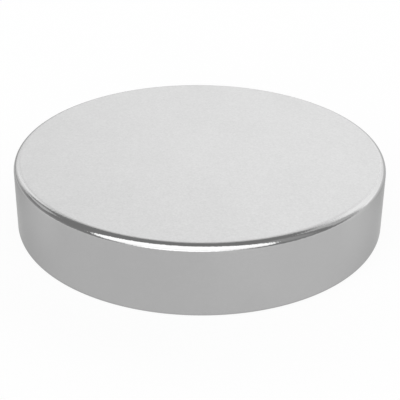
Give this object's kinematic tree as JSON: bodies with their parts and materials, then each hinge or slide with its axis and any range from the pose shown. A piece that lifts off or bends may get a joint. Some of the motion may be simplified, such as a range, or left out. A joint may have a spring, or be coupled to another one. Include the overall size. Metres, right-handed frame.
{
  "type": "disc magnet",
  "caption": "Thin round permanent magnet with flat pole faces, a straight rim and tumbled round edges, plated in satin nickel.",
  "frame": {"origin": "centre of the lower pole face, which is the face that it rests on", "axes": "+Z along the disc's axis, which is the axis of magnetisation, towards the upper pole face; X and Y are free, because the disc is round"},
  "size_m": [0.025, 0.025, 0.005],
  "materials": {
    "nickel_plating": "satin nickel plating, fine-grained on the pole faces and polished on the round edges"
  },
  "bodies": {
    "root": {"magnet": "nickel_plating"}
  },
  "joints": []
}
